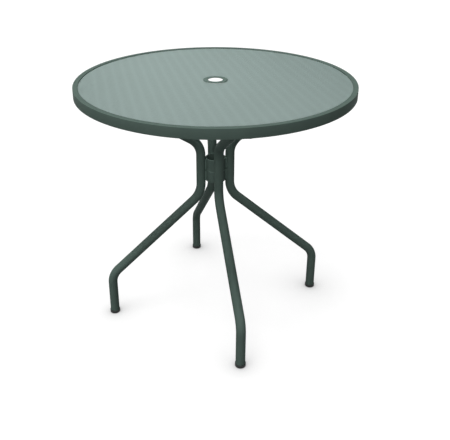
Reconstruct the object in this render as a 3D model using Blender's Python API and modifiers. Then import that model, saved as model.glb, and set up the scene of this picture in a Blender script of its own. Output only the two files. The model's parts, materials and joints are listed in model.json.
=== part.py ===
"""Round patio table with a fine steel mesh top.

A tube rim holds the mesh. Four bent tube legs, joined by a parasol collar, run from
black foot caps up to tabs under the rim, where each is held by one screw.
Metres, +Z up, with the origin on the floor under the middle of the table.
"""
from math import asin, cos, pi, sin, tan

import bpy
from mathutils import Vector

# Top
TABLE_HEIGHT = 0.750
TOP_DIAMETER = 0.800
RIM_HEIGHT = 0.028
RIM_WIDTH = 0.0145
RIM_WALL = 0.0015
RIM_CHAMFER = 0.0016
DRAIN_HOLE_DIAMETER = 0.006
DRAIN_HOLE_COUNT = 8
MESH_DROP = 0.002  # mesh surface below the top of the rim
MESH_THICKNESS = 0.0024
MESH_OPENING_PITCH = 0.063  # the fine mesh is a coarse grid here, about as open from above
MESH_BAR_WIDTH = 0.024
MESH_SMALLEST_OPENING = 0.25  # share of a whole one, under which an opening cut off by the edge is left out
LEDGE_WIDTH = 0.012
LEDGE_THICKNESS = 0.003

# Parasol hole
PARASOL_HOLE_DIAMETER = 0.0425
CENTRE_RING_DIAMETER = 0.070
CENTRE_RING_CHAMFER = 0.0004
MESH_UNDER_RING = 0.004  # how far the mesh reaches in under the ring, where it is spot welded

# Collar
COLLAR_DIAMETER = 0.061
COLLAR_WALL = 0.003
COLLAR_UPPER_HEIGHT = 0.038
COLLAR_LOWER_HEIGHT = 0.036
COLLAR_CHAMFER = 0.001
COLLAR_BELOW_BEND = 0.010  # collar top under the point where the upper bends start

# Legs
TUBE_DIAMETER = 0.028
TUBE_WALL = 0.0015
FOOT_RADIUS = 0.331  # from the table's axis to the middle of a foot
ANKLE_HEIGHT = 0.138  # corner between foot and slope
ANKLE_BEND_RADIUS = 0.060
LOWER_CORNER_HEIGHT = 0.3935  # corner between slope and column
LOWER_BEND_RADIUS = 0.074
UPPER_CORNER_HEIGHT = 0.555  # corner between column and arm
UPPER_BEND_RADIUS = 0.062
ARM_FLAT_LENGTH = 0.0634  # from the arm's last corner to the rim
ARM_BEND_RADIUS = 0.060

# Foot caps
CAP_FLOOR = 0.004
CAP_HEIGHT = 0.010
CAP_WALL = 0.0012
CAP_ROUNDING = 0.002

# Fastening of an arm
TAB_LENGTH = 0.050
TAB_WIDTH = 0.040
TAB_THICKNESS = 0.003
TAB_CORNER_RADIUS = 0.008
SCREW_TO_RIM = 0.024
SCREW_DIAMETER = 0.006
SCREW_HEAD_DIAMETER = 0.012
SCREW_HEAD_HEIGHT = 0.0035
SCREW_HEAD_CHAMFER = 0.001
WASHER_DIAMETER = 0.015
WASHER_THICKNESS = 0.0025  # at its middle, under the tube
PLUG_FLANGE_THICKNESS = 0.0025
PLUG_TO_RIM = 0.003
PLUG_STEM_LENGTH = 0.010

# Clearances and fineness
GAP = 0.0003  # between pieces that touch
SCREW_CLEARANCE = 0.0003
MERGE_DISTANCE = 0.00001
LARGE_STEPS = 80
LEDGE_STEPS = 18
RING_STEPS = 40
SMALL_STEPS = 20
SCREW_STEPS = 12
TUBE_SIDES = 12
BEND_STEPS = 5
CORNER_STEPS = 4

# Heights and radii that follow from the sizes above
TUBE_RADIUS = TUBE_DIAMETER / 2
RIM_OUTER_RADIUS = TOP_DIAMETER / 2
RIM_INNER_RADIUS = RIM_OUTER_RADIUS - RIM_WIDTH
WELD_RADIUS = RIM_INNER_RADIUS - GAP  # outer edge of what is welded inside the rim
MESH_TOP = TABLE_HEIGHT - MESH_DROP
MESH_BOTTOM = MESH_TOP - MESH_THICKNESS
SEAT_TOP = MESH_BOTTOM - GAP  # top of the ledges and tabs that the mesh lies on
TAB_BOTTOM = SEAT_TOP - TAB_THICKNESS
ARM_HEIGHT = TAB_BOTTOM - GAP - TUBE_RADIUS
MESH_INNER_RADIUS = CENTRE_RING_DIAMETER / 2 - MESH_UNDER_RING
COLUMN_RADIUS = COLLAR_DIAMETER / 2 + GAP + TUBE_RADIUS
ARM_CORNER_RADIUS = RIM_INNER_RADIUS - ARM_FLAT_LENGTH
ARM_END_RADIUS = RIM_INNER_RADIUS - PLUG_TO_RIM - PLUG_FLANGE_THICKNESS - GAP
SCREW_RADIUS_FROM_AXIS = RIM_INNER_RADIUS - SCREW_TO_RIM

# The side of the table that each leg points to, and the quarter after it, as a turn about Z
SIDES = {"right": 0.0, "back": pi / 2, "left": pi, "front": -pi / 2}
QUARTERS = {"back_right": 0.0, "back_left": pi / 2, "front_left": pi, "front_right": -pi / 2}


def empty_scene():
    for obj in list(bpy.data.objects):
        bpy.data.objects.remove(obj)


def new_collection(name):
    collection = bpy.data.collections.new(name)
    bpy.context.scene.collection.children.link(collection)
    return collection


def new_finish(name, colour, roughness, metallic):
    """A Principled BSDF; colour is linear RGB."""
    finish = bpy.data.materials.new(name)
    finish.use_nodes = True
    shader = finish.node_tree.nodes["Principled BSDF"]
    shader.inputs["Base Color"].default_value = (*colour, 1.0)
    shader.inputs["Roughness"].default_value = roughness
    shader.inputs["Metallic"].default_value = metallic
    return finish


empty_scene()
PARTS = new_collection("patio_table")
CUTTERS = new_collection("cutters")
GREEN_COAT = new_finish("green_powder_coat", (0.060, 0.087, 0.077), 0.50, 0.0)
MESH_COAT = new_finish("mesh_powder_coat", (0.280, 0.350, 0.330), 0.55, 0.0)
BLACK_PLASTIC = new_finish("black_plastic", (0.018, 0.020, 0.019), 0.60, 0.0)
SCREW_STEEL = new_finish("stainless_steel", (0.550, 0.550, 0.540), 0.35, 1.0)


def add_part(name, data, finish, parent=None, location=(0.0, 0.0, 0.0), rotation=(0.0, 0.0, 0.0)):
    part = bpy.data.objects.new(name, data)
    part.data.materials.append(finish)
    PARTS.objects.link(part)
    place(part, parent, location, rotation)
    return part


def add_cutter(name, data, parent=None, location=(0.0, 0.0, 0.0), rotation=(0.0, 0.0, 0.0)):
    cutter = bpy.data.objects.new(name, data)
    cutter.display_type = 'WIRE'
    cutter.hide_render = True
    CUTTERS.objects.link(cutter)
    place(cutter, parent, location, rotation)
    return cutter


def place(obj, parent, location, rotation):
    obj.parent = parent
    obj.location = location
    obj.rotation_euler = rotation


def cut(part, cutter):
    boolean = part.modifiers.new("cut " + cutter.name, 'BOOLEAN')
    boolean.operation = 'DIFFERENCE'
    boolean.object = cutter


def profile_mesh(name, profile, closed):
    """Edges through (radius, height) points, in the XZ plane."""
    mesh = bpy.data.meshes.new(name)
    points = [(radius, 0.0, height) for radius, height in profile]
    edges = [(i, i + 1) for i in range(len(points) - 1)]
    if closed:
        edges.append((len(points) - 1, 0))
    mesh.from_pydata(points, edges, [])
    return mesh


def turn(obj, steps):
    screw = obj.modifiers.new("turn", 'SCREW')
    screw.steps = steps
    screw.render_steps = steps
    screw.use_merge_vertices = True
    screw.merge_threshold = MERGE_DISTANCE
    screw.use_smooth_shade = True


def ring_profile(inner, outer, low, high, chamfer=0.0):
    """A rectangle of (radius, height) points that runs down its outer side."""
    if not chamfer:
        return [(outer, high), (outer, low), (inner, low), (inner, high)]
    c = chamfer
    return [(outer - c, high), (outer, high - c), (outer, low + c), (outer - c, low),
            (inner + c, low), (inner, low + c), (inner, high - c), (inner + c, high)]


def turned_part(name, profile, steps, finish, closed=True, **placing):
    part = add_part(name, profile_mesh(name, profile, closed), finish, **placing)
    turn(part, steps)
    return part


def turned_cutter(name, profile, steps, closed=True, **placing):
    cutter = add_cutter(name, profile_mesh(name, profile, closed), **placing)
    turn(cutter, steps)
    return cutter


def rod_profile(radius, low, high):
    """Half the outline of a rod, from its top middle down to its bottom middle."""
    return [(0.0, high), (radius, high), (radius, low), (0.0, low)]


def arc_points(centre, radius, start, end, steps):
    """Points on an arc in a plane, from angle start to angle end."""
    angles = [start + (end - start) * i / steps for i in range(steps + 1)]
    return [(centre[0] + radius * cos(a), centre[1] + radius * sin(a)) for a in angles]


def rounded_path(corners, bend_radii, steps):
    """A path through its end points, with an arc of the given radius at each inner corner."""
    path = [Vector(corners[0])]
    for i, bend_radius in enumerate(bend_radii, start=1):
        corner = Vector(corners[i])
        back = (Vector(corners[i - 1]) - corner).normalized()
        ahead = (Vector(corners[i + 1]) - corner).normalized()
        half_angle = back.angle(ahead) / 2
        middle = corner + (back + ahead).normalized() * bend_radius / sin(half_angle)
        start = corner + back * bend_radius / tan(half_angle) - middle
        end = corner + ahead * bend_radius / tan(half_angle) - middle
        turn_angle = start.angle_signed(end)
        for step in range(steps + 1):
            share = turn_angle * step / steps
            path.append(middle + Vector((start.x * cos(share) + start.y * sin(share),
                                         start.y * cos(share) - start.x * sin(share))))
    path.append(Vector(corners[-1]))
    return path


def bend_start(corner, before, after, bend_radius):
    """How far from a corner its bend starts."""
    back = (Vector(before) - Vector(corner)).normalized()
    ahead = (Vector(after) - Vector(corner)).normalized()
    return bend_radius / tan(back.angle(ahead) / 2)


def flat_curve(name, loops, thickness):
    """A flat plate: its outline, then its holes, each a closed loop of (x, y) points."""
    curve = bpy.data.curves.new(name, 'CURVE')
    curve.dimensions = '2D'
    curve.fill_mode = 'BOTH'
    curve.extrude = thickness / 2
    for loop in loops:
        spline = curve.splines.new('POLY')
        spline.points.add(len(loop) - 1)
        for point, (x, y) in zip(spline.points, loop):
            point.co = (x, y, 0.0, 1.0)
        spline.use_cyclic_u = True
    return curve


def tube_mesh(name, path, radius):
    """The open skin of a tube along a path of (x, z) points, as a mesh."""
    curve = bpy.data.curves.new(name, 'CURVE')
    curve.dimensions = '3D'
    curve.bevel_depth = radius
    curve.bevel_resolution = TUBE_SIDES // 2 - 2
    spline = curve.splines.new('POLY')
    spline.points.add(len(path) - 1)
    for point, (x, z) in zip(spline.points, path):
        point.co = (x, 0.0, z, 1.0)
    guide = add_cutter(name + "_line", curve)
    skin = bpy.data.meshes.new_from_object(guide.evaluated_get(bpy.context.evaluated_depsgraph_get()))
    bpy.data.objects.remove(guide)
    return skin


def make_rim():
    """Rectangular tube bent to a ring, with drain holes through its lower wall."""
    low = TABLE_HEIGHT - RIM_HEIGHT
    rim = turned_part(
        "rim", ring_profile(RIM_INNER_RADIUS, RIM_OUTER_RADIUS, low, TABLE_HEIGHT, RIM_CHAMFER),
        LARGE_STEPS, GREEN_COAT)
    cavity = ring_profile(RIM_INNER_RADIUS + RIM_WALL, RIM_OUTER_RADIUS - RIM_WALL,
                          low + RIM_WALL, TABLE_HEIGHT - RIM_WALL)
    cut(rim, turned_cutter("rim_cavity", cavity, LARGE_STEPS))
    middle = (RIM_INNER_RADIUS + RIM_OUTER_RADIUS) / 2
    hole = rod_profile(DRAIN_HOLE_DIAMETER / 2, -RIM_WALL, 2 * RIM_WALL)
    for i in range(DRAIN_HOLE_COUNT):
        angle = 2 * pi * (i + 0.5) / DRAIN_HOLE_COUNT
        location = (middle * cos(angle), middle * sin(angle), low)
        cut(rim, turned_cutter(f"drain_hole_{i + 1}", hole, SCREW_STEPS, closed=False, location=location))


def circle_points(radius, steps):
    return arc_points((0.0, 0.0), radius, 0.0, 2 * pi * (1 - 1 / steps), steps - 1)


def trim(outline, direction, limit):
    """What is left of a convex outline up to a distance from the table's axis in one direction."""
    left = []
    for here, ahead in zip(outline, outline[1:] + outline[:1]):
        over = here.dot(direction) - limit
        over_ahead = ahead.dot(direction) - limit
        if over <= 0.0:
            left.append(here)
        if over * over_ahead < 0.0:
            left.append(here.lerp(ahead, over / (over - over_ahead)))
    return left


def outline_area(outline):
    return abs(sum(here.cross(ahead) for here, ahead in zip(outline, outline[1:] + outline[:1]))) / 2


def grid_openings(inner, outer):
    """Square openings, the same on each side of the X and Y axes, trimmed to lie between two radii."""
    half = (MESH_OPENING_PITCH - MESH_BAR_WIDTH) / 2
    count = int(outer / MESH_OPENING_PITCH) + 1
    middles = [(i + 0.5) * MESH_OPENING_PITCH for i in range(-count, count)]
    openings = []
    for middle in (Vector((x, y)) for x in middles for y in middles):
        square = [middle + half * Vector(corner) for corner in ((-1, -1), (1, -1), (1, 1), (-1, 1))]
        opening = trim(square, -middle.normalized(), -inner)
        for direction in circle_points(1.0, LARGE_STEPS):
            opening = trim(opening, Vector(direction), outer)
        if outline_area(opening) > MESH_SMALLEST_OPENING * (2 * half) ** 2:
            openings.append(opening)
    return openings


def make_mesh_top():
    """The mesh as a thin grid. Its whole edge lies on the ledges and tabs inside the rim."""
    outlines = [circle_points(WELD_RADIUS, LARGE_STEPS), circle_points(MESH_INNER_RADIUS, RING_STEPS)]
    openings = grid_openings(CENTRE_RING_DIAMETER / 2, WELD_RADIUS - LEDGE_WIDTH)
    grid = flat_curve("top_mesh", outlines + openings, MESH_THICKNESS)
    add_part("top_mesh", grid, MESH_COAT, location=(0.0, 0.0, MESH_TOP - MESH_THICKNESS / 2))


def make_ledge(quarter, angle):
    """A flat strip welded inside the rim, from one arm's tab to the next, that carries the mesh."""
    tab_edge = TAB_WIDTH / 2 + GAP
    inner = WELD_RADIUS - LEDGE_WIDTH
    outer_end = asin(tab_edge / WELD_RADIUS)
    inner_end = asin(tab_edge / inner)
    outline = (arc_points((0.0, 0.0), WELD_RADIUS, outer_end, pi / 2 - outer_end, LEDGE_STEPS)
               + arc_points((0.0, 0.0), inner, pi / 2 - inner_end, inner_end, LEDGE_STEPS))
    strip = flat_curve("mesh_ledge_" + quarter, [outline], LEDGE_THICKNESS)
    add_part("mesh_ledge_" + quarter, strip, GREEN_COAT,
             location=(0.0, 0.0, SEAT_TOP - LEDGE_THICKNESS / 2), rotation=(0.0, 0.0, angle))


def make_centre_ring():
    """A flat steel ring round the parasol hole. It lies on the mesh, flush with the top of the rim."""
    thickness = MESH_DROP - GAP
    profile = ring_profile(PARASOL_HOLE_DIAMETER / 2, CENTRE_RING_DIAMETER / 2, -thickness, 0.0,
                           CENTRE_RING_CHAMFER)
    turned_part("centre_ring", profile, RING_STEPS, GREEN_COAT, location=(0.0, 0.0, TABLE_HEIGHT))


def leg_corners():
    """The corners of a leg's centre line, from its foot to its arm end, as (radius, height)."""
    return [(FOOT_RADIUS, CAP_FLOOR + GAP), (FOOT_RADIUS, ANKLE_HEIGHT),
            (COLUMN_RADIUS, LOWER_CORNER_HEIGHT), (COLUMN_RADIUS, UPPER_CORNER_HEIGHT),
            (ARM_CORNER_RADIUS, ARM_HEIGHT), (ARM_END_RADIUS, ARM_HEIGHT)]


def make_collar():
    """Two short rings stacked between the columns of the legs."""
    corners = leg_corners()
    straight_top = UPPER_CORNER_HEIGHT - bend_start(corners[3], corners[2], corners[4], UPPER_BEND_RADIUS)
    outer = COLLAR_DIAMETER / 2
    inner = outer - COLLAR_WALL
    upper_top = straight_top - COLLAR_BELOW_BEND
    lower_top = upper_top - COLLAR_UPPER_HEIGHT - GAP
    for name, top, height in (("collar_upper", upper_top, COLLAR_UPPER_HEIGHT),
                              ("collar_lower", lower_top, COLLAR_LOWER_HEIGHT)):
        profile = ring_profile(inner, outer, -height, 0.0, COLLAR_CHAMFER)
        turned_part(name, profile, RING_STEPS, GREEN_COAT, location=(0.0, 0.0, top))


def make_leg(side, frame, screw_hole):
    """One tube, bent four times: foot, slope, column beside the collar, arm, flat end."""
    bend_radii = [ANKLE_BEND_RADIUS, LOWER_BEND_RADIUS, UPPER_BEND_RADIUS, ARM_BEND_RADIUS]
    path = rounded_path(leg_corners(), bend_radii, BEND_STEPS)
    name = "leg_" + side
    leg = add_part(name, tube_mesh(name, path, TUBE_RADIUS), GREEN_COAT, parent=frame)
    wall = leg.modifiers.new("tube wall", 'SOLIDIFY')
    wall.thickness = TUBE_WALL
    wall.offset = -1.0
    wall.use_even_offset = True
    cut(leg, screw_hole)


def make_foot_cap(side, frame):
    """A cup pushed over the foot of a leg."""
    inner = TUBE_RADIUS + GAP
    outer = inner + CAP_WALL
    rounding = arc_points((outer - CAP_ROUNDING, CAP_ROUNDING), CAP_ROUNDING, 0.0, -pi / 2, CORNER_STEPS)
    profile = [(0.0, CAP_FLOOR), (inner, CAP_FLOOR), (inner, CAP_HEIGHT), (outer, CAP_HEIGHT),
               *rounding, (0.0, 0.0)]
    turned_part("foot_cap_" + side, profile, SMALL_STEPS, BLACK_PLASTIC, closed=False,
                parent=frame, location=(FOOT_RADIUS, 0.0, 0.0))


def make_arm_tab(side, frame):
    """A flat tab welded to the inside of the rim, with a hole for the arm's screw."""
    half_width = TAB_WIDTH / 2
    half_angle = asin(half_width / WELD_RADIUS)
    weld_edge = arc_points((0.0, 0.0), WELD_RADIUS, -half_angle, half_angle, CORNER_STEPS)
    inner = WELD_RADIUS - TAB_LENGTH
    r = TAB_CORNER_RADIUS
    corners = (arc_points((inner + r, half_width - r), r, pi / 2, pi, CORNER_STEPS)
               + arc_points((inner + r, r - half_width), r, pi, 3 * pi / 2, CORNER_STEPS))
    hole = arc_points((SCREW_RADIUS_FROM_AXIS, 0.0), SCREW_DIAMETER / 2 + SCREW_CLEARANCE,
                      0.0, 2 * pi * (1 - 1 / SCREW_STEPS), SCREW_STEPS - 1)
    plate = flat_curve("arm_tab_" + side, [weld_edge + corners, hole], TAB_THICKNESS)
    add_part("arm_tab_" + side, plate, GREEN_COAT, parent=frame,
             location=(0.0, 0.0, (SEAT_TOP + TAB_BOTTOM) / 2))


def make_arm_screw(side, frame):
    """The screw that holds an arm to its tab, put in from below, and its saddle washer."""
    washer_low = ARM_HEIGHT - TUBE_RADIUS - WASHER_THICKNESS
    head_top = washer_low - GAP
    head_low = head_top - SCREW_HEAD_HEIGHT
    shank = SCREW_DIAMETER / 2
    head = SCREW_HEAD_DIAMETER / 2
    profile = [(0.0, SEAT_TOP), (shank, SEAT_TOP), (shank, head_top), (head, head_top),
               (head, head_low + SCREW_HEAD_CHAMFER), (head - SCREW_HEAD_CHAMFER, head_low), (0.0, head_low)]
    turned_part("arm_screw_" + side, profile, SCREW_STEPS, SCREW_STEEL, closed=False,
                parent=frame, location=(SCREW_RADIUS_FROM_AXIS, 0.0, 0.0))

    hole = shank + SCREW_CLEARANCE
    washer = turned_part(
        "saddle_washer_" + side,
        ring_profile(hole, WASHER_DIAMETER / 2, washer_low, ARM_HEIGHT), SMALL_STEPS, BLACK_PLASTIC,
        parent=frame, location=(SCREW_RADIUS_FROM_AXIS, 0.0, 0.0))
    tube_space = rod_profile(TUBE_RADIUS + GAP, -WASHER_DIAMETER, WASHER_DIAMETER)
    cut(washer, turned_cutter("tube_space_" + side, tube_space, 2 * TUBE_SIDES, closed=False, parent=frame,
                              location=(SCREW_RADIUS_FROM_AXIS, 0.0, ARM_HEIGHT),
                              rotation=(0.0, pi / 2, 0.0)))


def make_arm_plug(side, frame):
    """A plug that closes the arm's end beside the rim."""
    flange = TUBE_RADIUS
    stem = (TUBE_RADIUS - TUBE_WALL) * cos(pi / TUBE_SIDES) - GAP
    profile = [(0.0, PLUG_FLANGE_THICKNESS), (flange, PLUG_FLANGE_THICKNESS), (flange, 0.0),
               (stem, 0.0), (stem, -PLUG_STEM_LENGTH), (0.0, -PLUG_STEM_LENGTH)]
    turned_part("arm_plug_" + side, profile, SMALL_STEPS, BLACK_PLASTIC, closed=False, parent=frame,
                location=(ARM_END_RADIUS + GAP, 0.0, ARM_HEIGHT), rotation=(0.0, pi / 2, 0.0))


def make_side(side, angle):
    """A leg and all that is fastened to it, made along +X and turned to its side."""
    frame = bpy.data.objects.new("side_" + side, None)
    frame.rotation_euler = (0.0, 0.0, angle)
    PARTS.objects.link(frame)
    hole = rod_profile(SCREW_DIAMETER / 2 + SCREW_CLEARANCE, -TUBE_DIAMETER, TUBE_DIAMETER)
    screw_hole = turned_cutter("screw_hole_" + side, hole, SCREW_STEPS, closed=False, parent=frame,
                               location=(SCREW_RADIUS_FROM_AXIS, 0.0, ARM_HEIGHT))
    make_leg(side, frame, screw_hole)
    make_foot_cap(side, frame)
    make_arm_tab(side, frame)
    make_arm_screw(side, frame)
    make_arm_plug(side, frame)


make_rim()
make_mesh_top()
make_centre_ring()
make_collar()
for quarter_name, quarter_angle in QUARTERS.items():
    make_ledge(quarter_name, quarter_angle)
for side_name, side_angle in SIDES.items():
    make_side(side_name, side_angle)
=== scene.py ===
"""Round patio table with a steel mesh top: its fine shapes, finishes, floor, light and camera.

Laid out as an add-on and run as a script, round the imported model. Metres, +Z up.
"""
import json
from math import asin, cos, pi, radians, sin, tan

import bmesh
import bpy
from bpy.props import FloatProperty, FloatVectorProperty, IntProperty, PointerProperty
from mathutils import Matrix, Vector

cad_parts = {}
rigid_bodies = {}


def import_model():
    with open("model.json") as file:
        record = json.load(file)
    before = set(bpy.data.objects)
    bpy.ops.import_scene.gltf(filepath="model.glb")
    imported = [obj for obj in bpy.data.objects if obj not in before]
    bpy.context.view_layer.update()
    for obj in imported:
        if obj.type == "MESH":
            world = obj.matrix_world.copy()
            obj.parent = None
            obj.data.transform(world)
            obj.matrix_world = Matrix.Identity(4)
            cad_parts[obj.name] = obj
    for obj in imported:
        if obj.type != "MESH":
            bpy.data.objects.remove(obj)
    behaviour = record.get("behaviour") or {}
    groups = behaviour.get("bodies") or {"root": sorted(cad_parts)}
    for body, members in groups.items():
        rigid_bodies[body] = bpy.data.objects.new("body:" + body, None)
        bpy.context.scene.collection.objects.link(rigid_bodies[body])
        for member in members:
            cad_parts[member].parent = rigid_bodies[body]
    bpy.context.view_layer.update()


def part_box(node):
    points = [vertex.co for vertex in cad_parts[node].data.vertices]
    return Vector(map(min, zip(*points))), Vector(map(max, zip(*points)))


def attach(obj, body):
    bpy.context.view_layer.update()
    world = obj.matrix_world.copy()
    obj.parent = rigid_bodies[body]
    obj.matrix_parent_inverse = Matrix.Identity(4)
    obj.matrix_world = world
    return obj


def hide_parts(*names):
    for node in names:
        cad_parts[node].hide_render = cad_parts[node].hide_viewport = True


for leftover in list(bpy.data.objects):
    bpy.data.objects.remove(leftover)
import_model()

bl_info = {
    "name": "Patio Table",
    "version": (1, 0, 0),
    "blender": (4, 5, 0),
    "location": "3D View > Sidebar > Patio Table",
    "description": "Builds a round patio table with a steel mesh top, piece by piece",
    "category": "Add Mesh",
}

# The sides that the legs point to and the quarters between them, as turns about the parasol axis
SIDES = {"right": 0.0, "back": pi / 2, "left": pi, "front": -pi / 2}
QUARTERS = {"back_right": 0.0, "back_left": pi / 2, "front_left": pi, "front_right": -pi / 2}

# Places of the pieces, from the frame
RIM_LOW, RIM_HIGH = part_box("rim")
MESH_LOW, MESH_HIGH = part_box("top_mesh")
RING_LOW, RING_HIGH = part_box("centre_ring")
LEDGE_LOW, LEDGE_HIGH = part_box("mesh_ledge_back_right")
LEG_LOW, LEG_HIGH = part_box("leg_right")
CAP_LOW, CAP_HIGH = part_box("foot_cap_right")
TAB_LOW, TAB_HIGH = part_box("arm_tab_right")
PLUG_LOW, PLUG_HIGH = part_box("arm_plug_right")
SCREW_LOW, SCREW_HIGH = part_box("arm_screw_right")
WASHER_LOW, WASHER_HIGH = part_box("saddle_washer_right")
FOOT_RADIUS = (CAP_LOW.x + CAP_HIGH.x) / 2
SCREW_RADIUS = (SCREW_LOW.x + SCREW_HIGH.x) / 2
CLEARANCE = 0.0003  # between pieces that touch

# Fineness: faces round each shape, and rows of faces along it
RIM_STEPS = 240
COLLAR_STEPS = 96
TUBE_SIDES = 40
BEND_STEPS = 14
SMALL_STEPS = 48
HOLE_STEPS = 24
WIRE_SIDES = 16
BEAD_SIDES = 12
MERGE_DISTANCE = 0.00001
# Lengths of the faces at a tube's ends and on the collar, which keep the painted highlights on the edges
# there narrow
END_ROW = 0.002
COLLAR_ROW = 0.003

# The turn from face to face over which an edge is shaded as sharp, or is rounded
SMOOTH_ANGLE = radians(35)
WIRE_SMOOTH_ANGLE = radians(24)  # just over the turn between a wire's sides
ROUNDED_ANGLE = radians(50)
FACING = 0.9  # least cosine between a face's normal and the direction that it looks in

# Weld beads: each ripple swells over the first share of its length and shrinks over the rest
RIPPLE_SHARE = 0.65
RIPPLE_SWELL = 1.16
BEAD_SPREAD = 3.4  # from a column's middle to the beads beside it, in radii of a bead
STITCH_ANGLES = (15, 45, 75)  # places of the stitch welds along a ledge, in degrees

# What the finishes share. Pointiness is Blender's measure of how far an edge stands out.
NOISE_LOW = 0.3  # most of a noise texture's values lie between these two
NOISE_HIGH = 0.7
BUMP_STRENGTH = 0.5
PAINTED_HIGHLIGHT_START = 0.521  # pointiness from which the coat is painted lighter, a painted highlight on outer edges
PAINTED_HIGHLIGHT_FULL = 0.537  # pointiness from which the painted highlight is full
# how much lighter the coat is painted on outer edges: a painted highlight
PAINTED_HIGHLIGHT_TONE = 1.6

# Faint paler rows across the mesh
ROW_SPACING = 0.0294
ROW_START = -0.0137  # X of one of them
ROW_POWER = 2.0  # narrows them
ROW_TONE = 1.05
WAVE_PERIOD = 2 * pi / 20  # in metres, of a Wave texture whose scale is 1

# The picture that the camera frames, in pixels, and the camera's sensor, in millimetres
PICTURE_WIDTH = 450
PICTURE_HEIGHT = 440
SENSOR_WIDTH = 36.0
LAMP_DISTANCE = 4.0  # only a place to stand, because a sun lamp lights the same from anywhere

# The finish that each of the record's material slots has
FINISHES = {"frame_coat": "powder_coat_on_steel", "mesh_coat": "powder_coat_on_mesh_painted_paler",
            "black_plastic": "moulded_polyethylene", "screw_steel": "cold_headed_stainless_steel"}


def linear(code):
    """An sRGB hex colour as linear RGB."""
    channels = [int(code[i:i + 2], 16) / 255 for i in (1, 3, 5)]
    return tuple(c / 12.92 if c <= 0.04045 else ((c + 0.055) / 1.055) ** 2.4 for c in channels)


def size(name, description, default):
    """A length that a user may change."""
    return FloatProperty(name=name, description=description, default=default, min=0.0, unit='LENGTH',
                         precision=4)


def colour(name, description, code):
    """A colour that a user may change, given as sRGB hex."""
    return FloatVectorProperty(name=name, description=description, default=linear(code), subtype='COLOR',
                               min=0.0, max=1.0)


def light(name, description, default):
    """A light level that a user may change: at 1, a white surface that faces the light shows white."""
    return FloatProperty(name=name, description=description, default=default, min=0.0)


def way(name, description, azimuth, rise):
    """A direction towards a light that a user may change, from degrees."""
    return FloatVectorProperty(name=name, description=description, size=2, subtype='NONE',
                               default=(radians(azimuth), radians(rise)))


class TopSizes(bpy.types.PropertyGroup):
    """Sizes of the rim, the mesh and the parasol ring."""
    rim_width: size("Rim width", "Width of the rim tube seen from above", 0.0145)
    rim_corner: size("Rim corner", "Radius of the rim tube's edges", 0.0010)
    rim_wall: size("Rim wall", "Thickness of the rim tube's steel", 0.0015)
    drain_hole: size("Drain hole", "Diameter of the drain holes under the rim", 0.006)
    drain_holes: IntProperty(name="Drain holes", description="Number of drain holes", default=8, min=1)
    wire: size("Mesh wire", "Diameter of the mesh's wires", 0.0012)
    pitch: size("Mesh pitch", "Distance from wire to wire", 0.003)
    mesh_hole: size("Mesh hole", "Radius of the hole in the mesh, under the parasol ring", 0.031)
    ring_hole: size("Parasol hole", "Diameter of the hole in the parasol ring", 0.0425)
    ledge_width: size("Ledge width", "Width of the strips that carry the mesh", 0.012)
    plate_edge: size("Plate edge", "Rounding of the edges of the ring, the strips and the tabs", 0.0004)
    bead: size("Weld bead", "Radius of the weld beads under the top", 0.0016)
    stitch: size("Stitch weld", "Length of the stitch welds along the strips", 0.020)


class LegSizes(bpy.types.PropertyGroup):
    """Sizes of the legs, the collar and what is fitted to them."""
    tube: size("Tube diameter", "Outer diameter of the legs' tube", 0.028)
    wall: size("Tube wall", "Thickness of the tube's steel", 0.0015)
    ankle_height: size("Ankle height", "Corner between the foot and the slope", 0.138)
    ankle_bend: size("Ankle bend", "Bend radius at the ankle", 0.060)
    lower_height: size("Lower corner", "Corner between the slope and the column", 0.3935)
    lower_bend: size("Lower bend", "Bend radius under the column", 0.074)
    upper_height: size("Upper corner", "Corner between the column and the arm", 0.555)
    upper_bend: size("Upper bend", "Bend radius over the column", 0.062)
    arm_flat: size("Arm's flat length", "From the arm's last corner to the rim", 0.0634)
    arm_bend: size("Arm bend", "Bend radius at the arm's last corner", 0.060)
    collar_wall: size("Collar wall", "Thickness of the collar's steel", 0.003)
    collar_edge: size("Collar edge", "Rounding of the collar's edges", 0.0014)
    bead: size("Weld bead", "Radius of the weld beads beside the columns", 0.0019)
    ripple: size("Weld ripple", "Distance from ripple to ripple in a weld bead", 0.0022)
    tab_corner: size("Tab corner", "Radius of the tabs' inner corners", 0.008)
    cap_wall: size("Cap wall", "Wall of a foot cap", 0.0012)
    cap_floor: size("Cap floor", "Thickness of a foot cap under the tube", 0.004)
    cap_edge: size("Cap edge", "Rounding of a foot cap's lower edge", 0.002)
    screw: size("Screw", "Diameter of the arm screws", 0.006)
    head_height: size("Screw head", "Height of the screws' button heads", 0.0035)
    head_round: size("Head rounding", "How far the button heads are rounded", 0.0022)
    hex_key: size("Hex key", "Width across the flats of the screws' sockets", 0.004)
    washer_edge: size("Washer edge", "Rounding of a saddle washer's lower edge", 0.0006)
    plug_flange: size("Plug flange", "Thickness of the plugs' flanges", 0.0025)


class TableColours(bpy.types.PropertyGroup):
    """Colours of the finishes and the floor."""
    coat: colour("Frame coat", "Powder coat of the rim, legs and collar", "#586962")
    # painted light: the mesh has the frame's coat, painted paler here to stand for the light that its
    # wires catch
    mesh: colour("Mesh coat", "Powder coat of the mesh", "#a6b7b3")
    plastic: colour("Plastic", "Moulded caps, plugs and washers", "#232625")
    steel: colour("Screw steel", "Stainless steel of the screws", "#c4c4c1")
    floor: colour("Floor", "Studio floor without its glow, as the camera sees it", "#787878")
    under_floor: colour("Floor's bounce", "Studio floor as it lights the table from below", "#505050")


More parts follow.
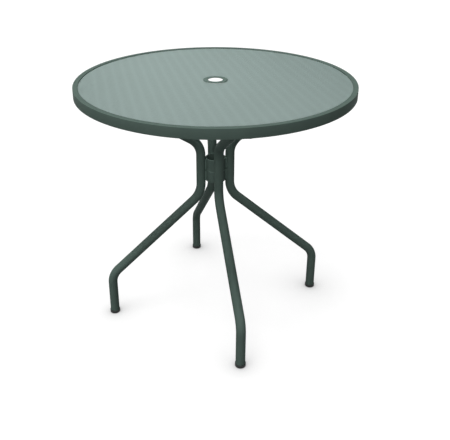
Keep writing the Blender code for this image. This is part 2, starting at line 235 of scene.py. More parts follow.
class StudioSettings(bpy.types.PropertyGroup):
    """Light and camera."""
    dome: light("Dome light", "Even light from all round", 0.12)
    over: light("Overhead light", "Soft light from high on the left", 0.82)
    over_way: way("Overhead direction", "Azimuth and rise of the overhead light", -150, 76)
    side: light("Side light", "Soft light from the left", 0.04)
    side_way: way("Side direction", "Azimuth and rise of the side light", 180, 15)
    front: light("Front light", "Soft light from behind the camera", 0.29)
    front_way: way("Front direction", "Azimuth and rise of the front light", -108, 22)
    softness: FloatProperty(name="Softness", description="Angle that each light is seen under",
                            default=radians(25), subtype='ANGLE')
    floor_glow: light("Floor glow", "White that the camera sees in the floor", 0.90)
    shade_reach: size("Shade's reach", "How near a foot the floor's glow is shaded", 0.16)
    shade_depth: FloatProperty(name="Shade's depth", description="Power of the shade near the feet",
                               default=1.3)
    floor_size: size("Floor size", "Width of the floor", 40.0)
    distance: size("Camera distance", "From the parasol axis, along the floor", 1.72145)
    height: size("Camera height", "Over the floor", 1.24434)
    heading: FloatProperty(name="Heading", description="Turn of the camera about the parasol axis",
                           default=radians(-12.42), subtype='ANGLE')
    tilt: FloatProperty(name="Tilt", description="Camera's tilt below the horizon",
                        default=radians(23.836), subtype='ANGLE')
    focal_pixels: FloatProperty(name="Focal length", description="In pixels of the picture",
                                default=622.5)
    centre_x: FloatProperty(name="Optical centre X", description="Pixels from the left", default=215.44)
    centre_y: FloatProperty(name="Optical centre Y", description="Pixels from the top", default=164.79)


def select_only(piece):
    """Makes a piece the only selected one, and the active one."""
    bpy.ops.object.select_all(action='DESELECT')
    piece.select_set(True)
    bpy.context.view_layer.objects.active = piece


def start_piece(name, add, **options):
    """Adds a primitive with its origin at the world's and its place in its mesh."""
    bpy.ops.object.select_all(action='DESELECT')
    add(**options)
    bpy.ops.object.transform_apply()
    piece = bpy.context.object
    piece.name = piece.data.name = name
    return piece


def edit(piece):
    """Opens a piece in edit mode with all of it selected."""
    select_only(piece)
    bpy.ops.object.mode_set(mode='EDIT')
    bpy.ops.mesh.select_all(action='SELECT')


def pick(kind, test):
    """In edit mode, selects only the edges or faces that pass a test."""
    bpy.ops.mesh.select_mode(type=kind)
    bpy.ops.mesh.select_all(action='DESELECT')
    mesh = bpy.context.object.data
    shape = bmesh.from_edit_mesh(mesh)
    for element in {'EDGE': shape.edges, 'FACE': shape.faces}[kind]:
        element.select_set(test(element))
    bmesh.update_edit_mesh(mesh)


def pick_edges(test, least_rise=0.0):
    """In edit mode, selects the edges that rise enough and whose two ends pass a test of their place."""
    pick('EDGE', lambda edge: all(test(end.co) for end in edge.verts)
         and abs(edge.verts[0].co.z - edge.verts[1].co.z) >= least_rise)


def pick_faces(direction):
    """In edit mode, selects the faces that look in a direction."""
    pick('FACE', lambda face: face.normal.dot(Vector(direction)) > FACING)


def draw_out(offset):
    """In edit mode, extrudes what is selected and moves it."""
    bpy.ops.mesh.extrude_region_move(TRANSFORM_OT_translate={"value": offset})


def bevel(width, segments):
    """In edit mode, rounds the selected edges."""
    bpy.ops.mesh.bevel(offset=width, segments=segments, affect='EDGES')


def close_shape():
    """In edit mode, merges the seams, turns the faces outwards and goes back to object mode."""
    bpy.ops.mesh.select_all(action='SELECT')
    bpy.ops.mesh.remove_doubles(threshold=MERGE_DISTANCE)
    bpy.ops.mesh.normals_make_consistent(inside=False)
    bpy.ops.object.mode_set(mode='OBJECT')


def modify(piece, kind, **settings):
    """Adds a modifier to a piece and applies it."""
    select_only(piece)
    modifier = piece.modifiers.new("shape", kind)
    for name, value in settings.items():
        setattr(modifier, name, value)
    bpy.ops.object.modifier_apply(modifier=modifier.name)


def thicken(piece, wall):
    """Gives a shell its wall, inwards from its faces."""
    modify(piece, 'SOLIDIFY', thickness=wall, offset=-1.0, use_even_offset=True)


def round_edges(piece, width, segments=3):
    """Rounds every sharp edge of a piece."""
    modify(piece, 'BEVEL', width=width, segments=segments, limit_method='ANGLE',
           angle_limit=ROUNDED_ANGLE)


def combine(piece, tool, operation='DIFFERENCE'):
    """Cuts a piece with a tool, or keeps only what they share, and deletes the tool."""
    modify(piece, 'BOOLEAN', operation=operation, object=tool, solver='EXACT')
    bpy.data.objects.remove(tool)


def start_rod(name, radius, length, place, turn=(0.0, 0.0, 0.0), steps=SMALL_STEPS):
    """A rod whose middle is at a place, upright unless it is turned."""
    return start_piece(name, bpy.ops.mesh.primitive_cylinder_add, vertices=steps, radius=radius,
                       depth=length, location=place, rotation=turn)


def drill(piece, radius, depth, place, turn=(0.0, 0.0, 0.0), steps=HOLE_STEPS):
    """Cuts a hole with a rod whose middle is at a place."""
    combine(piece, start_rod("rod", radius, depth, place, turn, steps))


def join(pieces, name):
    """Joins pieces into one."""
    bpy.ops.object.select_all(action='DESELECT')
    for piece in pieces:
        piece.select_set(True)
    bpy.context.view_layer.objects.active = pieces[0]
    bpy.ops.object.join()
    joined = bpy.context.object
    joined.name = joined.data.name = name
    return joined


def turned_copy(piece, name, angle):
    """A copy with its own mesh, turned about the parasol axis."""
    select_only(piece)
    bpy.ops.object.duplicate(linked=False)
    copy = bpy.context.object
    copy.name = copy.data.name = name
    copy.rotation_euler.z = angle
    bpy.ops.object.transform_apply()
    return copy


def finish(piece, slot, *nodes, smooth=SMOOTH_ANGLE):
    """Checks that a piece is closed, and gives it its shading, its finish and what it stands for."""
    shape = bmesh.new()
    shape.from_mesh(piece.data)
    open_edges = sum(len(edge.link_faces) != 2 for edge in shape.edges)
    volume = shape.calc_volume(signed=True)
    shape.free()
    if open_edges or volume <= 0.0:
        raise RuntimeError(f"{piece.name} has {open_edges} open edges and a volume of {volume}")
    select_only(piece)
    bpy.ops.object.shade_smooth_by_angle(angle=smooth)
    piece.data.materials.clear()
    piece.data.materials.append(bpy.data.materials[FINISHES[slot]])
    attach(piece, "root")
    if nodes:
        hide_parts(*nodes)


def finish_round(piece, turns, slot, node=None):
    """Copies a piece to every side or quarter, finishes the copies and deletes the piece."""
    for place, angle in turns.items():
        copy = turned_copy(piece, f"{piece.name}_{place}", angle)
        finish(copy, slot, *([f"{node}_{place}"] if node else []))
    bpy.data.objects.remove(piece)


def start_band(name, radius, low, high, steps, rows=1):
    """The open side wall of a cylinder about the parasol axis, in rows of faces."""
    band = start_piece(name, bpy.ops.mesh.primitive_cylinder_add, vertices=steps, radius=radius,
                       depth=high - low, end_fill_type='NOTHING', location=(0.0, 0.0, (low + high) / 2))
    if rows > 1:
        edit(band)
        pick_edges(lambda place: True, least_rise=MERGE_DISTANCE)
        bpy.ops.mesh.subdivide(number_cuts=rows - 1)
        bpy.ops.object.mode_set(mode='OBJECT')
    return band


def start_section(name, width, low, high, outer_radius):
    """A rectangle in the XZ plane that ends at a radius, left open in edit mode."""
    middle = (outer_radius - width / 2, 0.0, (low + high) / 2)
    section = start_piece(name, bpy.ops.mesh.primitive_plane_add, size=1.0, location=middle,
                          rotation=(pi / 2, 0.0, 0.0))
    edit(section)
    bpy.ops.transform.resize(value=(width, 1.0, high - low), center_override=middle)
    return section


def weld_bead(name, start, end, radius, ripple):
    """A bead of weld metal from one point to another, drawn out in ripples."""
    run = Vector(end) - Vector(start)
    turn = run.to_track_quat('Z', 'Y').to_euler()
    bead = start_piece(name, bpy.ops.mesh.primitive_circle_add, vertices=BEAD_SIDES, radius=radius,
                       fill_type='NGON', location=start, rotation=turn)
    edit(bead)
    ripples = round(run.length / ripple)
    place = Vector(start)
    for _ in range(ripples):
        for share, swell in ((RIPPLE_SHARE, RIPPLE_SWELL), (1 - RIPPLE_SHARE, 1 / RIPPLE_SWELL)):
            offset = run * share / ripples
            place += offset
            draw_out(offset)
            bpy.ops.transform.resize(value=(swell, swell, swell), center_override=place)
    close_shape()
    return bead


def add_node(tree, kind, values=None, links=None, **settings):
    """Adds a node: values go to its sockets, and links join them to other nodes' outputs."""
    node = tree.nodes.new(kind)
    for name, value in settings.items():
        setattr(node, name, value)
    for key, value in (values or {}).items():
        node.inputs[key].default_value = value
    for key, output in (links or {}).items():
        tree.links.new(output, node.inputs[key])
    return node


def per_metre(millimetres):
    """The scale at which a noise cell measures that many millimetres."""
    return 1000.0 / millimetres


def tone(rgb, factor):
    """A colour made lighter or darker, as RGBA."""
    return (*(min(channel * factor, 1.0) for channel in rgb), 1.0)


def start_material(name, **sockets):
    """A new material's node tree and shader, and the object coordinates in it."""
    material = bpy.data.materials.new(name)
    material.use_nodes = True
    tree = material.node_tree
    shader = tree.nodes["Principled BSDF"]
    for key, value in sockets.items():
        shader.inputs[key.replace("_", " ")].default_value = value
    return tree, shader, add_node(tree, 'ShaderNodeTexCoord').outputs['Object']


def patches(tree, place, rgb, cell, spread):
    """A colour that drifts lighter and darker by a spread, in patches of a cell size in millimetres."""
    noise = add_node(tree, 'ShaderNodeTexNoise', {'Scale': per_metre(cell), 'Detail': 3.0},
                     {'Vector': place})
    drift = add_node(tree, 'ShaderNodeMapRange', {'From Min': NOISE_LOW, 'From Max': NOISE_HIGH},
                     {'Value': noise.outputs['Fac']})
    mixed = add_node(tree, 'ShaderNodeMix', {6: tone(rgb, 1 - spread), 7: tone(rgb, 1 + spread)},
                     {'Factor': drift.outputs['Result']}, data_type='RGBA')
    return mixed.outputs[2]


def surface(tree, shader, place, cell, height, sheen_cell, smoothest, roughest):
    """A skin of bumps, and gloss that drifts between two roughnesses.

    The cells of both are in millimetres, and the bumps' height is in metres.
    """
    skin = add_node(tree, 'ShaderNodeTexNoise', {'Scale': per_metre(cell), 'Detail': 2.0},
                    {'Vector': place})
    bump = add_node(tree, 'ShaderNodeBump', {'Strength': BUMP_STRENGTH, 'Distance': height},
                    {'Height': skin.outputs['Fac']})
    tree.links.new(bump.outputs['Normal'], shader.inputs['Normal'])
    gloss = add_node(tree, 'ShaderNodeTexNoise', {'Scale': per_metre(sheen_cell), 'Detail': 2.0},
                     {'Vector': place})
    drift = add_node(tree, 'ShaderNodeMapRange', {'To Min': smoothest, 'To Max': roughest},
                     {'Value': gloss.outputs['Fac']})
    tree.links.new(drift.outputs['Result'], shader.inputs['Roughness'])


def powder_coat(colours):
    """Polyester powder coat on steel, sprayed and baked: dull, with a fine orange-peel skin.

    It has nearly no gloss, as in the photograph. Its outer edges are painted lighter, a painted
    highlight that follows pointiness, and it drifts a little in patches of 70 mm, as the spray leaves
    it. The skin's cells are 1.5 mm wide on such a coat, and drawn at 2.5 mm so that they show.
    """
    tree, shader, place = start_material("powder_coat_on_steel", IOR=1.5, Specular_IOR_Level=0.02)
    body = patches(tree, place, colours.coat, cell=70.0, spread=0.05)
    # painted highlight: the coat is painted lighter where pointiness marks an outer edge
    edges = add_node(tree, 'ShaderNodeMapRange', {'From Min': PAINTED_HIGHLIGHT_START, 'From Max': PAINTED_HIGHLIGHT_FULL},
                     {'Value': add_node(tree, 'ShaderNodeNewGeometry').outputs['Pointiness']})
    coat = add_node(tree, 'ShaderNodeMix', {7: tone(colours.coat, PAINTED_HIGHLIGHT_TONE)},
                    {'Factor': edges.outputs['Result'], 6: body}, data_type='RGBA')
    tree.links.new(coat.outputs[2], shader.inputs['Base Color'])
    surface(tree, shader, place, cell=2.5, height=0.00008, sheen_cell=40.0, smoothest=0.50,
            roughest=0.64)


def mesh_coat(colours):
    """The frame's dull coat on fine wires, with its colour painted paler than the frame's: painted light
    on the mesh.

    Faint paler rows, 29.4 mm apart, cross the mesh from front to back. The skin is drawn as coarse
    as on the frame.
    """
    tree, shader, place = start_material("powder_coat_on_mesh_painted_paler", IOR=1.5, Specular_IOR_Level=0.02)
    # the mesh colour is the frame's coat painted paler: painted light
    body = patches(tree, place, colours.mesh, cell=9.0, spread=0.03)
    centred = add_node(tree, 'ShaderNodeMapping', {'Location': (ROW_SPACING / 2 - ROW_START, 0.0, 0.0)},
                       {'Vector': place})
    wave = add_node(tree, 'ShaderNodeTexWave', {'Scale': WAVE_PERIOD / ROW_SPACING},
                    {'Vector': centred.outputs['Vector']}, wave_type='BANDS', bands_direction='X')
    rows = add_node(tree, 'ShaderNodeMath', {1: ROW_POWER}, {0: wave.outputs['Fac']}, operation='POWER')
    coat = add_node(tree, 'ShaderNodeMix', {7: tone(colours.mesh, ROW_TONE)},
                    {'Factor': rows.outputs[0], 6: body}, data_type='RGBA')
    tree.links.new(coat.outputs[2], shader.inputs['Base Color'])
    surface(tree, shader, place, cell=2.5, height=0.00005, sheen_cell=30.0, smoothest=0.48,
            roughest=0.60)


def moulded_plastic(colours):
    """Injection-moulded polyethylene: near black and matt, with a fine spark-eroded grain.

    The grain's cells are about 0.2 mm wide, and drawn at 0.8 mm so that they show.
    """
    tree, shader, place = start_material("moulded_polyethylene", IOR=1.51, Specular_IOR_Level=0.35)
    body = patches(tree, place, colours.plastic, cell=8.0, spread=0.15)
    tree.links.new(body, shader.inputs['Base Color'])
    surface(tree, shader, place, cell=0.8, height=0.00005, sheen_cell=6.0, smoothest=0.55,
            roughest=0.70)


def stainless_steel(colours):
    """Cold-headed stainless steel: bright but a little dull, with fine forming marks.

    The marks are about 0.1 mm wide, and drawn at 0.5 mm so that they show.
    """
    tree, shader, place = start_material("cold_headed_stainless_steel", Metallic=1.0)
    body = patches(tree, place, colours.steel, cell=3.0, spread=0.08)
    tree.links.new(body, shader.inputs['Base Color'])
    surface(tree, shader, place, cell=0.5, height=0.00002, sheen_cell=1.5, smoothest=0.28,
            roughest=0.42)


class TABLE_OT_finishes(bpy.types.Operator):
    """Makes the four finishes"""
    bl_idname = "table.finishes"
    bl_label = "Finishes"

    def execute(self, context):
        colours = context.scene.table_colours
        powder_coat(colours)
        mesh_coat(colours)
        moulded_plastic(colours)
        stainless_steel(colours)
        return {'FINISHED'}


class TABLE_OT_rim(bpy.types.Operator):
    """Makes the rim: a rectangular tube bent to a ring, with drain holes below"""
    bl_idname = "table.rim"
    bl_label = "Rim"

    def execute(self, context):
        sizes = context.scene.table_top
        rim = start_section("rim_tube", sizes.rim_width, RIM_LOW.z, RIM_HIGH.z, RIM_HIGH.x)
        bpy.ops.mesh.bevel(offset=sizes.rim_corner, segments=5, affect='VERTICES')
        bpy.ops.mesh.delete(type='ONLY_FACE')
        bpy.ops.mesh.select_all(action='SELECT')
        bpy.ops.mesh.spin(steps=RIM_STEPS, angle=2 * pi, use_auto_merge=True, center=(0.0, 0.0, 0.0),
                          axis=(0.0, 0.0, 1.0))
        close_shape()
        thicken(rim, sizes.rim_wall)
        middle = RIM_HIGH.x - sizes.rim_width / 2
        for i in range(sizes.drain_holes):
            angle = 2 * pi * (i + 0.5) / sizes.drain_holes
            place = (middle * cos(angle), middle * sin(angle), RIM_LOW.z)
            drill(rim, sizes.drain_hole / 2, 4 * sizes.rim_wall, place)
        finish(rim, "frame_coat", "rim")
        return {'FINISHED'}


def lay_wires(name, height, turn, sizes):
    """One layer of parallel wires, cut to a ring between the parasol ring and the rim."""
    radius = MESH_HIGH.x
    length = 2.1 * radius  # the longest wire and a little over, which is cut off
    # An even number, because a wire on the middle line would be cut to slivers at its ends
    count = 2 * int(radius / sizes.pitch)
    first = (-(count - 1) / 2 * sizes.pitch, 0.0, height)
    wires = start_rod(name, sizes.wire / 2, length, first, (pi / 2, 0.0, 0.0), WIRE_SIDES)
    modify(wires, 'ARRAY', count=count, use_relative_offset=False, use_constant_offset=True,
           constant_offset_displace=(sizes.pitch, 0.0, 0.0))
    wires.rotation_euler.z = turn
    bpy.ops.object.transform_apply()
    blank = start_band("blank", radius, height - sizes.wire, height + sizes.wire, RIM_STEPS)
    thicken(blank, radius - sizes.mesh_hole)
    combine(wires, blank, 'INTERSECT')
    return wires


class TABLE_OT_mesh_top(bpy.types.Operator):
    """Makes the mesh: two crossing layers of fine wires"""
    bl_idname = "table.mesh_top"
    bl_label = "Mesh top"

    def execute(self, context):
        sizes = context.scene.table_top
        for name, height, turn in (("mesh_wires_lower", MESH_LOW.z + sizes.wire / 2, pi / 2),
                                   ("mesh_wires_upper", MESH_HIGH.z - sizes.wire / 2, 0.0)):
            wires = lay_wires(name, height, turn, sizes)
            finish(wires, "mesh_coat", "top_mesh", smooth=WIRE_SMOOTH_ANGLE)
        return {'FINISHED'}


class TABLE_OT_ledges(bpy.types.Operator):
    """Makes the four strips inside the rim that carry the mesh, and their stitch welds"""
    bl_idname = "table.ledges"
    bl_label = "Mesh ledges"

    def execute(self, context):
        sizes = context.scene.table_top
        outer = MESH_HIGH.x
        start = asin(LEDGE_LOW.y / (outer - sizes.ledge_width))
        ledge = start_section("ledge_strip", sizes.ledge_width, LEDGE_LOW.z, LEDGE_HIGH.z, outer)
        bpy.ops.mesh.spin(steps=RIM_STEPS // 4, angle=pi / 2 - 2 * start, center=(0.0, 0.0, 0.0),
                          axis=(0.0, 0.0, -1.0))
        close_shape()
        ledge.rotation_euler.z = start
        bpy.ops.object.transform_apply()
        round_edges(ledge, sizes.plate_edge, 2)
        finish_round(ledge, QUARTERS, "frame_coat", "mesh_ledge")

        bead_x = outer - sizes.bead / 2
        reach = sizes.stitch / 2
        stitches = []
        for angle in STITCH_ANGLES:
            stitch = weld_bead("stitch", (bead_x, -reach, LEDGE_LOW.z), (bead_x, reach, LEDGE_LOW.z),
                               sizes.bead, context.scene.table_legs.ripple)
            stitches.append(turned_copy(stitch, "stitch", radians(angle)))
            bpy.data.objects.remove(stitch)
        finish_round(join(stitches, "ledge_welds"), QUARTERS, "frame_coat")
        return {'FINISHED'}


class TABLE_OT_parasol_ring(bpy.types.Operator):
    """Makes the flat ring round the parasol hole"""
    bl_idname = "table.parasol_ring"
    bl_label = "Parasol ring"

    def execute(self, context):
        sizes = context.scene.table_top
        ring = start_band("parasol_ring", RING_HIGH.x, RING_LOW.z, RING_HIGH.z, COLLAR_STEPS)
        thicken(ring, RING_HIGH.x - sizes.ring_hole / 2)
        round_edges(ring, sizes.plate_edge)
        finish(ring, "frame_coat", "centre_ring")
        return {'FINISHED'}


class TABLE_OT_collar(bpy.types.Operator):
    """Makes the two rings between the columns that guide a parasol pole, and their welds"""
    bl_idname = "table.collar"
    bl_label = "Collar"

    def execute(self, context):
        sizes = context.scene.table_legs
        beads = []
        for level in ("upper", "lower"):
            low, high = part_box("collar_" + level)
            rows = round((high.z - low.z) / COLLAR_ROW)
            ring = start_band("collar_ring_" + level, high.x, low.z, high.z, COLLAR_STEPS, rows)
            thicken(ring, sizes.collar_wall)
            round_edges(ring, sizes.collar_edge)
            finish(ring, "frame_coat", "collar_" + level)

            bead_x = high.x + CLEARANCE + sizes.bead / 5  # in the groove between ring and column
            bottom = low.z + sizes.collar_edge + sizes.bead / 2
            top = high.z - sizes.collar_edge - sizes.bead / 2
            for side in (1, -1):
                bead_y = side * BEAD_SPREAD * sizes.bead
                beads.append(weld_bead("bead", (bead_x, bead_y, bottom), (bead_x, bead_y, top),
                                       sizes.bead, sizes.ripple))
        finish_round(join(beads, "column_welds"), SIDES, "frame_coat")
        return {'FINISHED'}


def bend_tube(corners, bend_radii):
    """In edit mode, draws the selected ring along corners in the XZ plane, bent at each inner one.

    Each end gets two short rows of faces.
    """
    step = (corners[1] - corners[0]).normalized() * END_ROW
    draw_out(step)
    draw_out(step)
    place = corners[0] + 2 * step
    for i, bend_radius in enumerate(bend_radii, start=1):
        corner = corners[i]
        back = (corners[i - 1] - corner).normalized()
        ahead = (corners[i + 1] - corner).normalized()
        half_angle = back.angle(ahead) / 2
        reach = bend_radius / tan(half_angle)
        centre = corner + (back + ahead).normalized() * bend_radius / sin(half_angle)
        axis = (0.0, 1.0 if back.cross(ahead).y > 0.0 else -1.0, 0.0)
        draw_out(corner + back * reach - place)
        bpy.ops.mesh.spin(steps=BEND_STEPS, angle=pi - 2 * half_angle, center=centre, axis=axis)
        place = corner + ahead * reach
    step = (corners[-1] - place).normalized() * END_ROW
    draw_out(corners[-1] - 2 * step - place)
    draw_out(step)
    draw_out(step)


class TABLE_OT_legs(bpy.types.Operator):
    """Makes the four legs: one tube each, bent four times from foot to arm"""
    bl_idname = "table.legs"
    bl_label = "Legs"

    def execute(self, context):
        sizes = context.scene.table_legs
        radius = sizes.tube / 2
        column = LEG_LOW.x + radius
        arm_height = LEG_HIGH.z - radius
        arm_corner = RIM_HIGH.x - context.scene.table_top.rim_width - sizes.arm_flat
        corners = [Vector((x, 0.0, z)) for x, z in (
            (FOOT_RADIUS, LEG_LOW.z), (FOOT_RADIUS, sizes.ankle_height), (column, sizes.lower_height),
            (column, sizes.upper_height), (arm_corner, arm_height), (LEG_HIGH.x, arm_height))]
        leg = start_piece("leg_tube", bpy.ops.mesh.primitive_circle_add, vertices=TUBE_SIDES,
                          radius=radius, location=corners[0])
        edit(leg)
        bend_tube(corners, [sizes.ankle_bend, sizes.lower_bend, sizes.upper_bend, sizes.arm_bend])
        close_shape()
        end = max(vertex.co.x for vertex in leg.data.vertices)
        if abs(end - LEG_HIGH.x) > CLEARANCE:
            raise RuntimeError(f"the leg's arm ends at {end}, not at {LEG_HIGH.x}")
        thicken(leg, sizes.wall)
        drill(leg, sizes.screw / 2 + CLEARANCE, 2 * sizes.tube, (SCREW_RADIUS, 0.0, arm_height))
        finish_round(leg, SIDES, "frame_coat", "leg")
        return {'FINISHED'}


class TABLE_OT_foot_caps(bpy.types.Operator):
    """Makes the four plastic cups under the feet"""
    bl_idname = "table.foot_caps"
    bl_label = "Foot caps"

    def execute(self, context):
        sizes = context.scene.table_legs
        height = CAP_HIGH.z - CAP_LOW.z
        cup = start_rod("foot_cup", (CAP_HIGH.x - CAP_LOW.x) / 2, height,
                        (FOOT_RADIUS, 0.0, CAP_LOW.z + height / 2))
        edit(cup)
        pick_faces((0.0, 0.0, 1.0))
        bpy.ops.mesh.inset(thickness=sizes.cap_wall)
        draw_out((0.0, 0.0, sizes.cap_floor - height))
        pick_edges(lambda place: place.z < CAP_LOW.z + MERGE_DISTANCE)
        bevel(sizes.cap_edge, 5)
        pick_edges(lambda place: place.z > CAP_HIGH.z - MERGE_DISTANCE)
        bevel(sizes.cap_wall / 4, 2)
        close_shape()
        finish_round(cup, SIDES, "black_plastic", "foot_cap")
        return {'FINISHED'}


class TABLE_OT_arm_tabs(bpy.types.Operator):
    """Makes the four tabs welded inside the rim, over the arms' ends"""
    bl_idname = "table.arm_tabs"
    bl_label = "Arm tabs"

    def execute(self, context):
        sizes = context.scene.table_legs
        extent = TAB_HIGH - TAB_LOW
        middle = (TAB_LOW + TAB_HIGH) / 2
        tab = start_piece("tab_plate", bpy.ops.mesh.primitive_cube_add, size=1.0, location=middle)
        edit(tab)
        bpy.ops.transform.resize(value=extent, center_override=middle)
        pick_edges(lambda place: place.x < TAB_LOW.x + MERGE_DISTANCE, least_rise=extent.z / 2)
        bevel(sizes.tab_corner, 8)
        close_shape()
        rim_room = start_rod("rim_room", TAB_HIGH.x, 3 * extent.z, (0.0, 0.0, middle.z), steps=RIM_STEPS)
        combine(tab, rim_room, 'INTERSECT')
        drill(tab, sizes.screw / 2 + CLEARANCE, 3 * extent.z, (SCREW_RADIUS, 0.0, middle.z))
        round_edges(tab, context.scene.table_top.plate_edge, 2)
        finish_round(tab, SIDES, "frame_coat", "arm_tab")

        bead = context.scene.table_top.bead
        bead_x = TAB_HIGH.x - bead / 2
        reach = extent.y / 2 - bead
        weld = weld_bead("tab_weld", (bead_x, -reach, TAB_LOW.z), (bead_x, reach, TAB_LOW.z), bead,
                         sizes.ripple)
        finish_round(weld, SIDES, "frame_coat")
        return {'FINISHED'}


class TABLE_OT_arm_screws(bpy.types.Operator):
    """Makes the four button-head screws that hold the arms to their tabs"""
    bl_idname = "table.arm_screws"
    bl_label = "Arm screws"

    def execute(self, context):
        sizes = context.scene.table_legs
        head = (SCREW_HIGH.x - SCREW_LOW.x) / 2
        screw = start_rod("button_screw", head, sizes.head_height,
                          (SCREW_RADIUS, 0.0, SCREW_LOW.z + sizes.head_height / 2))
        edit(screw)
        pick_faces((0.0, 0.0, 1.0))
        bpy.ops.mesh.inset(thickness=head - sizes.screw / 2)
        draw_out((0.0, 0.0, SCREW_HIGH.z - SCREW_LOW.z - sizes.head_height))
        pick_edges(lambda place: place.z > SCREW_HIGH.z - MERGE_DISTANCE)
        bevel(sizes.screw / 12, 1)
        pick_edges(lambda place: place.z < SCREW_LOW.z + MERGE_DISTANCE)
        bevel(sizes.head_round, 6)
        close_shape()
        socket = sizes.hex_key / 2 / cos(pi / 6)  # from its middle to its corners
        drill(screw, socket, sizes.head_height, (SCREW_RADIUS, 0.0, SCREW_LOW.z), steps=6)
        finish_round(screw, SIDES, "screw_steel", "arm_screw")
        return {'FINISHED'}


class TABLE_OT_saddle_washers(bpy.types.Operator):
    """Makes the four washers that seat the screw heads on the round tubes"""
    bl_idname = "table.saddle_washers"
    bl_label = "Saddle washers"

    def execute(self, context):
        sizes = context.scene.table_legs
        arm_height = LEG_HIGH.z - sizes.tube / 2
        height = arm_height - WASHER_LOW.z
        washer = start_rod("curved_washer", (WASHER_HIGH.x - WASHER_LOW.x) / 2, height,
                           (SCREW_RADIUS, 0.0, WASHER_LOW.z + height / 2))
        edit(washer)
        pick_edges(lambda place: place.z < WASHER_LOW.z + MERGE_DISTANCE)
        bevel(sizes.washer_edge, 3)
        close_shape()
        drill(washer, sizes.tube / 2 + CLEARANCE, 2 * sizes.tube, (SCREW_RADIUS, 0.0, arm_height),
              (0.0, pi / 2, 0.0), 2 * TUBE_SIDES)
        drill(washer, sizes.screw / 2 + CLEARANCE, 2 * height, (SCREW_RADIUS, 0.0, WASHER_LOW.z))
        finish_round(washer, SIDES, "black_plastic", "saddle_washer")
        return {'FINISHED'}


class TABLE_OT_arm_plugs(bpy.types.Operator):
    """Makes the four plugs that close the arms' ends beside the rim"""
    bl_idname = "table.arm_plugs"
    bl_label = "Arm plugs"

    def execute(self, context):
        sizes = context.scene.table_legs
        radius = sizes.tube / 2
        stem = radius - sizes.wall - CLEARANCE
        flange = PLUG_HIGH.x - sizes.plug_flange
        middle = (PLUG_HIGH.x - sizes.plug_flange / 2, 0.0, LEG_HIGH.z - radius)
        plug = start_rod("end_plug", radius, sizes.plug_flange, middle, (0.0, pi / 2, 0.0))
        edit(plug)
        pick_faces((-1.0, 0.0, 0.0))
        bpy.ops.mesh.inset(thickness=radius - stem)
        draw_out((PLUG_LOW.x - flange, 0.0, 0.0))
        pick_edges(lambda place: place.x > PLUG_HIGH.x - MERGE_DISTANCE)
        bevel(sizes.plug_flange / 2, 4)
        pick_edges(lambda place: place.x < PLUG_LOW.x + MERGE_DISTANCE)
        bevel(sizes.plug_flange / 3, 2)
        close_shape()
        finish_round(plug, SIDES, "black_plastic", "arm_plug")
        return {'FINISHED'}


def seen_directly(tree):
    """1 for rays from the camera and for rays that gloss or glass sends on, otherwise 0."""
    path = add_node(tree, 'ShaderNodeLightPath').outputs
    gloss = add_node(tree, 'ShaderNodeMath', links={0: path['Is Camera Ray'], 1: path['Is Glossy Ray']},
                     operation='MAXIMUM')
    glass = add_node(tree, 'ShaderNodeMath', links={0: gloss.outputs[0], 1: path['Is Transmission Ray']},
                     operation='MAXIMUM')
    return glass.outputs[0]


def lay_floor(settings, colours):
    """A studio floor that the camera sees as white, with the table's soft shadow and shade on it."""
    bpy.ops.object.select_all(action='DESELECT')
    bpy.ops.mesh.primitive_plane_add(size=settings.floor_size)
    floor = bpy.context.object
    floor.name = "studio_floor"
    material = bpy.data.materials.new("studio_floor_paint")
    material.use_nodes = True
    tree = material.node_tree
    tree.nodes.clear()
    nearby = add_node(tree, 'ShaderNodeAmbientOcclusion', {'Distance': settings.shade_reach})
    shade = add_node(tree, 'ShaderNodeMath', {1: settings.shade_depth}, {0: nearby.outputs['AO']},
                     operation='POWER')
    glow = add_node(tree, 'ShaderNodeMath', {1: settings.floor_glow}, {0: shade.outputs[0]},
                    operation='MULTIPLY')
    shown = add_node(tree, 'ShaderNodeAddShader', links={
        0: add_node(tree, 'ShaderNodeBsdfDiffuse', {'Color': tone(colours.floor, 1.0)}).outputs[0],
        1: add_node(tree, 'ShaderNodeEmission', links={'Strength': glow.outputs[0]}).outputs[0]})
    bounce = add_node(tree, 'ShaderNodeBsdfDiffuse', {'Color': tone(colours.under_floor, 1.0)})
    mixed = add_node(tree, 'ShaderNodeMixShader', links={
        0: seen_directly(tree), 1: bounce.outputs[0], 2: shown.outputs[0]})
    add_node(tree, 'ShaderNodeOutputMaterial', links={'Surface': mixed.outputs[0]})
    floor.data.materials.append(material)


def hang_dome(settings):
    """A dome that is white to the eye and lights the table evenly from all sides."""
    world = bpy.data.worlds.new("studio_dome")
    world.use_nodes = True
    bpy.context.scene.world = world
    tree = world.node_tree
    tree.nodes.clear()
    white = (1.0, 1.0, 1.0, 1.0)
    cast = add_node(tree, 'ShaderNodeBackground', {'Color': white, 'Strength': settings.dome})
    shown = add_node(tree, 'ShaderNodeBackground', {'Color': white, 'Strength': 1.0})
    mixed = add_node(tree, 'ShaderNodeMixShader', links={
        0: seen_directly(tree), 1: cast.outputs[0], 2: shown.outputs[0]})
    add_node(tree, 'ShaderNodeOutputWorld', links={'Surface': mixed.outputs[0]})


def hang_lamp(name, level, direction, softness):
    """A soft lamp far off in a direction, given as azimuth and rise. Level 1 shows white as white."""
    azimuth, rise = direction
    away = Vector((cos(azimuth) * cos(rise), sin(azimuth) * cos(rise), sin(rise)))
    bpy.ops.object.light_add(type='SUN', location=LAMP_DISTANCE * away,
                             rotation=away.to_track_quat('Z', 'Y').to_euler())
    lamp = bpy.context.object
    lamp.name = name
    lamp.data.angle = softness
    lamp.data.energy = pi * level


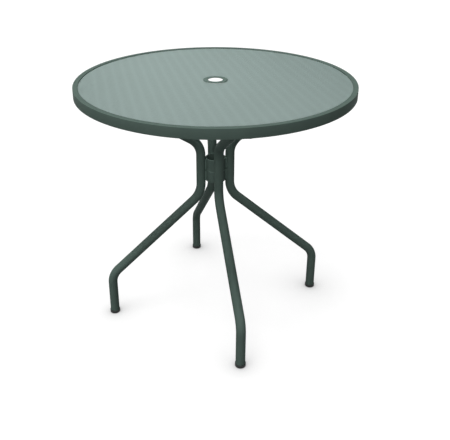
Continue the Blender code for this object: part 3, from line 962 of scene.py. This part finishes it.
def place_camera(settings):
    """The camera at the photograph's place, with its optical centre shifted as in the photograph."""
    place = (settings.distance * sin(settings.heading), -settings.distance * cos(settings.heading),
             settings.height)
    bpy.ops.object.camera_add(location=place, rotation=(pi / 2 - settings.tilt, 0.0, settings.heading))
    camera = bpy.context.object
    camera.data.sensor_width = SENSOR_WIDTH
    camera.data.lens = settings.focal_pixels * SENSOR_WIDTH / PICTURE_WIDTH
    camera.data.shift_x = (PICTURE_WIDTH / 2 - settings.centre_x) / PICTURE_WIDTH
    camera.data.shift_y = (settings.centre_y - PICTURE_HEIGHT / 2) / PICTURE_WIDTH
    bpy.context.scene.camera = camera


class TABLE_OT_studio(bpy.types.Operator):
    """Makes the floor, the light and the camera"""
    bl_idname = "table.studio"
    bl_label = "Studio"

    def execute(self, context):
        settings = context.scene.table_studio
        lay_floor(settings, context.scene.table_colours)
        hang_dome(settings)
        hang_lamp("overhead_lamp", settings.over, settings.over_way, settings.softness)
        hang_lamp("side_lamp", settings.side, settings.side_way, settings.softness)
        hang_lamp("front_lamp", settings.front, settings.front_way, settings.softness)
        place_camera(settings)
        context.scene.view_settings.view_transform = 'Standard'
        return {'FINISHED'}


class TABLE_PT_sidebar(bpy.types.Panel):
    """Lists the table's sizes, colours and building steps"""
    bl_idname = "TABLE_PT_sidebar"
    bl_label = "Patio Table"
    bl_space_type = 'VIEW_3D'
    bl_region_type = 'UI'
    bl_category = "Patio Table"

    def draw(self, context):
        for step in STEPS:
            self.layout.operator(step.bl_idname)
        for group in (context.scene.table_top, context.scene.table_legs, context.scene.table_colours,
                      context.scene.table_studio):
            box = self.layout.box()
            for name in group.__annotations__:
                box.prop(group, name)


GROUPS = (TopSizes, LegSizes, TableColours, StudioSettings)
STEPS = (TABLE_OT_finishes, TABLE_OT_rim, TABLE_OT_mesh_top, TABLE_OT_ledges, TABLE_OT_parasol_ring,
         TABLE_OT_collar, TABLE_OT_legs, TABLE_OT_foot_caps, TABLE_OT_arm_tabs, TABLE_OT_arm_screws,
         TABLE_OT_saddle_washers, TABLE_OT_arm_plugs, TABLE_OT_studio)


def register():
    for entry in (*GROUPS, *STEPS, TABLE_PT_sidebar):
        bpy.utils.register_class(entry)
    bpy.types.Scene.table_top = PointerProperty(type=TopSizes)
    bpy.types.Scene.table_legs = PointerProperty(type=LegSizes)
    bpy.types.Scene.table_colours = PointerProperty(type=TableColours)
    bpy.types.Scene.table_studio = PointerProperty(type=StudioSettings)


def unregister():
    del bpy.types.Scene.table_top
    del bpy.types.Scene.table_legs
    del bpy.types.Scene.table_colours
    del bpy.types.Scene.table_studio
    for entry in reversed((*GROUPS, *STEPS, TABLE_PT_sidebar)):
        bpy.utils.unregister_class(entry)


def main():
    """Builds the table and the studio."""
    register()
    bpy.ops.table.finishes()
    bpy.ops.table.rim()
    bpy.ops.table.mesh_top()
    bpy.ops.table.ledges()
    bpy.ops.table.parasol_ring()
    bpy.ops.table.collar()
    bpy.ops.table.legs()
    bpy.ops.table.foot_caps()
    bpy.ops.table.arm_tabs()
    bpy.ops.table.arm_screws()
    bpy.ops.table.saddle_washers()
    bpy.ops.table.arm_plugs()
    bpy.ops.table.studio()


if __name__ == "__main__":
    main()
